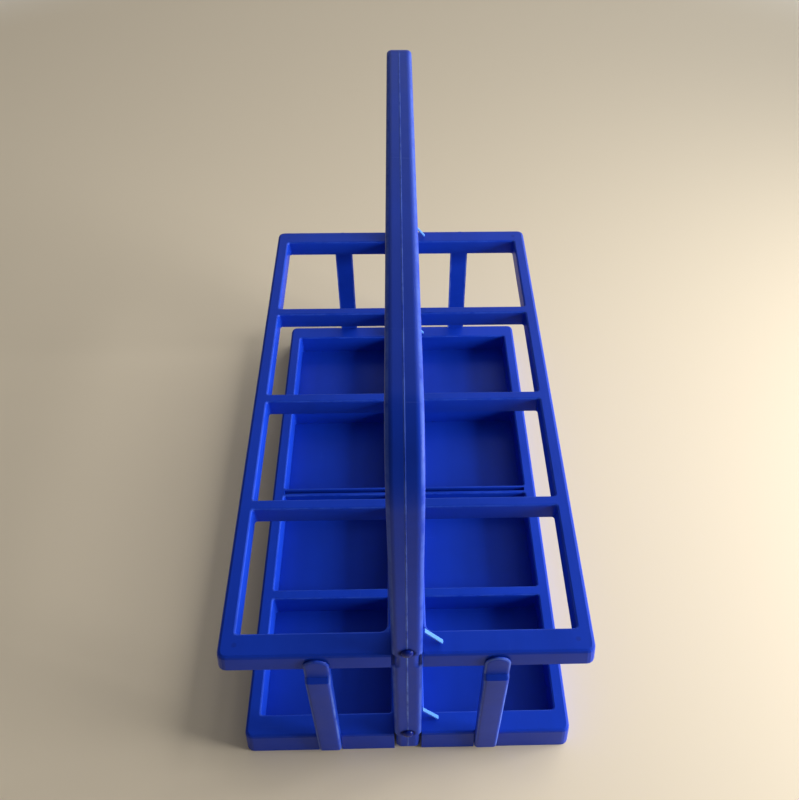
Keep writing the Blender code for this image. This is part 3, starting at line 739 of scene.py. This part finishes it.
class PlasticLook(bpy.types.PropertyGroup):
    """Colours and surface of the moulded plastic."""

    colour: FloatVectorProperty(
        name="Colour", description="Colour of the plastic", subtype="COLOR", size=3,
        default=(0.006, 0.041, 0.45),
    )
    tab_colour: FloatVectorProperty(
        name="Tab colour", description="Colour of the thin tabs", subtype="COLOR", size=3,
        default=(0.1, 0.26, 0.72),
    )
    # The dark colour of the ejector marks and of the painted shade round the pins
    dirt_and_shade_colour: FloatVectorProperty(
        name="Dirt colour", description="Colour of dark marks", subtype="COLOR", size=3,
        default=(0.004, 0.008, 0.09),
    )
    # The pale colour of scratches and of the rims' bands, which are partly wear and partly painted highlight
    wear_and_highlight_colour: FloatVectorProperty(
        name="Worn colour", description="Colour of rubbed places", subtype="COLOR", size=3,
        default=(0.05, 0.125, 0.62),
    )
    # The pale colour of the mould line and of the painted highlights along the handle's and the struts'
    # edges
    line_and_highlight_colour: FloatVectorProperty(
        name="Line colour", description="Colour of the mould line and rubbed edges", subtype="COLOR", size=3,
        default=(0.25, 0.37, 0.85),
    )
    pin_colour: FloatVectorProperty(
        name="Pin colour", description="Colour of the pins", subtype="COLOR", size=3,
        default=(0.003, 0.014, 0.2),
    )
    roughness: FloatProperty(name="Roughness", description="Middle roughness", default=0.4, subtype="FACTOR")
    refraction: FloatProperty(name="Refraction", description="Index of refraction", default=1.25)
    grain: FloatProperty(
        name="Grain", description="Strength of the fine surface grain", default=0.25, subtype="FACTOR",
    )
    scratches: FloatProperty(
        name="Scratches", description="How many rub marks show", default=0.5, subtype="FACTOR",
    )
    # How far the scratches and the bands of wear and painted highlight turn to their pale colour
    paleness: FloatProperty(name="Wear", description="How pale rubbed places are", default=0.4, subtype="FACTOR")


class StudioLook(bpy.types.PropertyGroup):
    """Colours and lights of the studio."""

    floor_colour: FloatVectorProperty(
        name="Floor", description="Colour of the floor", subtype="COLOR", size=3,
        default=(0.84, 0.635, 0.45),
    )
    light_colour: FloatVectorProperty(
        name="Light", description="Colour of the lights", subtype="COLOR", size=3,
        default=(0.84, 0.95, 1.0),
    )
    key_power: FloatProperty(
        name="Key light", description="Power of the far softbox on the right", default=54.0, unit="POWER",
    )
    side_power: FloatProperty(
        name="Side light", description="Power of the low softbox", default=12.5, unit="POWER",
    )
    back_power: FloatProperty(
        name="Back light", description="Power of the softbox behind", default=21.0, unit="POWER",
    )
    ambient: FloatProperty(name="Ambient", description="Strength of the room's even light", default=0.18)


class CarrierLook(bpy.types.PropertyGroup):
    """All settings of the carrier's looks."""

    handle: PointerProperty(name="Handle", description="Sizes of the handle", type=HandleLook)
    fittings: PointerProperty(
        name="Fittings", description="Sizes of struts, pins and tabs", type=FittingLook,
    )
    plastic: PointerProperty(name="Plastic", description="Surface of the plastic", type=PlasticLook)
    studio: PointerProperty(name="Studio", description="Floor and lights", type=StudioLook)


class CARRIER_OT_tray(bpy.types.Operator):
    """Give the tray its plastic, rubbed along the rims of its pans and with a painted highlight there"""

    bl_idname = "carrier.tray"
    bl_label = "Dress Tray"

    def execute(self, context):
        look = context.scene.carrier.plastic
        dress("base_tray", moulded_plastic("tray_moulded_plastic", look, rims_worn_and_highlit(TRAY_TOP)))
        return {"FINISHED"}


class CARRIER_OT_frame(bpy.types.Operator):
    """Give the frame its plastic, rubbed along the rims of its cells and with a painted highlight there"""

    bl_idname = "carrier.frame"
    bl_label = "Dress Frame"

    def execute(self, context):
        look = context.scene.carrier.plastic
        material = moulded_plastic("frame_moulded_plastic", look, rims_worn_and_highlit(FRAME_TOP), ejector_marks)
        dress("top_frame", material)
        return {"FINISHED"}


class CARRIER_OT_handle(bpy.types.Operator):
    """Sweep the handle and give it its plastic with the mould line, painted highlights along its edges and
    painted shade round the pins
    """

    bl_idname = "carrier.handle"
    bl_label = "Build Handle"

    def execute(self, context):
        looks = context.scene.carrier
        look = looks.plastic
        pale = look.line_and_highlight_colour
        material = moulded_plastic("handle_moulded_plastic", look, mould_line_and_edge_highlights, pin_painted_shade, pale_colour=pale)
        shells = [tube_parts(handle_surface(looks.handle))]
        add_piece("handle_arch", shells, "carrier", material, "carry_handle")
        return {"FINISHED"}


class CARRIER_OT_struts(bpy.types.Operator):
    """Build the struts with their rounded edges, their step and their pegs, and a painted highlight inside
    their outline
    """

    bl_idname = "carrier.struts"
    bl_label = "Build Struts"

    def execute(self, context):
        looks = context.scene.carrier
        fit = looks.fittings
        look = looks.plastic
        # The struts' pale band is a painted highlight along their rounded edges
        paling = strut_edge_highlight(*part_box("strut_front_right"))
        material = moulded_plastic("strut_moulded_plastic", look, paling, pale_colour=look.line_and_highlight_colour)
        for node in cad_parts:
            if not node.startswith("strut_"):
                continue
            low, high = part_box(node)
            end = -1.0 if "front" in node else 1.0
            shells = [strut_shell(low, high, end, fit)]
            seat = END_FACE + fit.clearance
            upper = (fit.shoulder + fit.clearance + FRAME_TOP) / 2
            for height, back in ((upper, seat), (TRAY_TOP / 2, seat - fit.recess)):
                root = ((low.x + high.x) / 2, end * (back + PEG_SUNK), height)
                shells.append(rod_shell(root, -end, fit.peg_length, fit.peg_radius, PEG_CHAMFER))
            add_piece(node + "_plate", shells, "carrier", material, node)
        return {"FINISHED"}


class CARRIER_OT_pins(bpy.types.Operator):
    """Turn the pins with their domed heads"""

    bl_idname = "carrier.pins"
    bl_label = "Build Pins"

    def execute(self, context):
        looks = context.scene.carrier
        look = looks.plastic
        material = moulded_plastic("pin_moulded_plastic", look, colour=look.pin_colour, gloss=PIN_GLOSS)
        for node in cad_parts:
            if node.startswith("handle_pin_"):
                shells = [pin_shell(*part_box(node), looks.fittings)]
                add_piece(node + "_dome", shells, "carrier", material, node)
        return {"FINISHED"}


class CARRIER_OT_tabs(bpy.types.Operator):
    """Build the catch tabs as thin rounded strips of paler plastic, each on its own catch"""

    bl_idname = "carrier.tabs"
    bl_label = "Build Catch Tabs"

    def execute(self, context):
        looks = context.scene.carrier
        look = looks.plastic
        material = moulded_plastic("tab_moulded_plastic", look, colour=look.tab_colour, gloss=TAB_GLOSS)
        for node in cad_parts:
            if node.startswith("catch_tab_"):
                shells = [tab_shell(*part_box(node), looks.fittings)]
                body = node.replace("catch_tab_", "catch_")
                add_piece(node + "_strip", shells, body, material, node)
        return {"FINISHED"}


def add_softbox(name, place, size, spread, power, colour):
    """A plain area light that faces the carrier. A narrow spread keeps its light off the floor beside it."""
    light = bpy.data.lights.new(name, "AREA")
    light.shape = "RECTANGLE"
    light.size, light.size_y = size
    light.energy = power
    light.color = colour
    light.spread = math.radians(spread)
    lamp = bpy.data.objects.new(name, light)
    lamp.location = place
    lamp.rotation_euler = (Vector(LIT_POINT) - Vector(place)).to_track_quat("-Z", "Y").to_euler()
    bpy.context.scene.collection.objects.link(lamp)


def add_floor(look):
    """A plain floor. For the camera it passes into the white background far from the carrier."""
    mesh = bpy.data.meshes.new("studio_floor")
    corners = np.array([(-1.0, -1.0), (1.0, -1.0), (1.0, 1.0), (-1.0, 1.0)]) * FLOOR_REACH
    mesh.from_pydata([(x, y, -FLOOR_DROP) for x, y in corners.tolist()], [], [(0, 1, 2, 3)])
    floor = bpy.data.objects.new("studio_floor", mesh)
    bpy.context.scene.collection.objects.link(floor)
    material = bpy.data.materials.new("studio_floor_paint")
    material.use_nodes = True
    shader = Shader(material.node_tree)
    paint = {"Base Color": tuple(look.floor_colour) + (1.0,), "Roughness": FLOOR_ROUGHNESS}
    surface = shader.node("ShaderNodeBsdfPrincipled", None, paint)
    x, y, _ = axes_of(shader, shader.node("ShaderNodeTexCoord", output="Object"))
    away = shader.math("SQRT", x * x + y * y)
    seen = shader.node("ShaderNodeLightPath", output="Is Camera Ray")
    horizon = shader.node("ShaderNodeEmission", None, {"Color": WHITE, "Strength": 1.0})
    faded = seen * shader.smooth(away, *FLOOR_FADE)
    surface = shader.layer(faded, surface, horizon)
    shader.node("ShaderNodeOutputMaterial", None, {"Surface": surface})
    give_material(floor, material)


def add_room(look):
    """A room of faint even light, which the camera sees as white."""
    world = bpy.data.worlds.new("studio_room")
    bpy.context.scene.world = world
    world.use_nodes = True
    shader = Shader(world.node_tree)
    seen = shader.node("ShaderNodeLightPath", output="Is Camera Ray")
    through = shader.node("ShaderNodeLightPath", output="Is Transmission Ray")
    path = shader.math("MAXIMUM", seen, through)
    air = {"Color": tuple(look.light_colour) + (1.0,), "Strength": look.ambient}
    room = shader.node("ShaderNodeBackground", None, air)
    white = shader.node("ShaderNodeBackground", None, {"Color": WHITE, "Strength": 1.0})
    shader.node("ShaderNodeOutputWorld", None, {"Surface": shader.layer(path, room, white)})


def add_camera():
    """The camera at the photograph's viewing angle."""
    view = bpy.data.cameras.new("viewpoint")
    view.lens = CAMERA_LENS
    view.shift_x, view.shift_y = CAMERA_SHIFT
    view.clip_end = CAMERA_FAR
    camera = bpy.data.objects.new("viewpoint", view)
    camera.location = CAMERA_PLACE
    camera.rotation_euler = CAMERA_TURN
    bpy.context.scene.collection.objects.link(camera)
    bpy.context.scene.camera = camera


class CARRIER_OT_studio(bpy.types.Operator):
    """Set up the floor, the soft lights, the room and the camera"""

    bl_idname = "carrier.studio"
    bl_label = "Set Up Studio"

    def execute(self, context):
        look = context.scene.carrier.studio
        add_floor(look)
        powers = {"key": look.key_power, "side": look.side_power, "back": look.back_power}
        for name, (place, size, spread) in SOFTBOXES.items():
            add_softbox(name + "_softbox", place, size, spread, powers[name], look.light_colour)
        add_room(look)
        add_camera()
        context.scene.view_settings.view_transform = "Standard"
        return {"FINISHED"}


class CARRIER_PT_looks(bpy.types.Panel):
    """Steps and settings of the carrier's looks"""

    bl_label = "Bottle Carrier"
    bl_idname = "CARRIER_PT_looks"
    bl_space_type = "VIEW_3D"
    bl_region_type = "UI"
    bl_category = "Carrier"

    def draw(self, context):
        for step in STEPS:
            self.layout.operator(step.bl_idname)
        looks = context.scene.carrier
        for group in (looks.handle, looks.fittings, looks.plastic, looks.studio):
            box = self.layout.box()
            for name in group.__annotations__:
                box.prop(group, name)


STEPS = (
    CARRIER_OT_tray, CARRIER_OT_frame, CARRIER_OT_handle, CARRIER_OT_struts, CARRIER_OT_pins,
    CARRIER_OT_tabs, CARRIER_OT_studio,
)
CLASSES = (HandleLook, FittingLook, PlasticLook, StudioLook, CarrierLook) + STEPS + (CARRIER_PT_looks,)


def register():
    """Register the classes and the settings."""
    for cls in CLASSES:
        bpy.utils.register_class(cls)
    bpy.types.Scene.carrier = PointerProperty(type=CarrierLook)


def unregister():
    """Take the settings and the classes off again."""
    del bpy.types.Scene.carrier
    for cls in reversed(CLASSES):
        bpy.utils.unregister_class(cls)


def main():
    """Register and run each step in order."""
    register()
    for step in STEPS:
        group, name = step.bl_idname.split(".")
        getattr(getattr(bpy.ops, group), name)()
    bpy.context.view_layer.update()


if __name__ == "__main__":
    main()
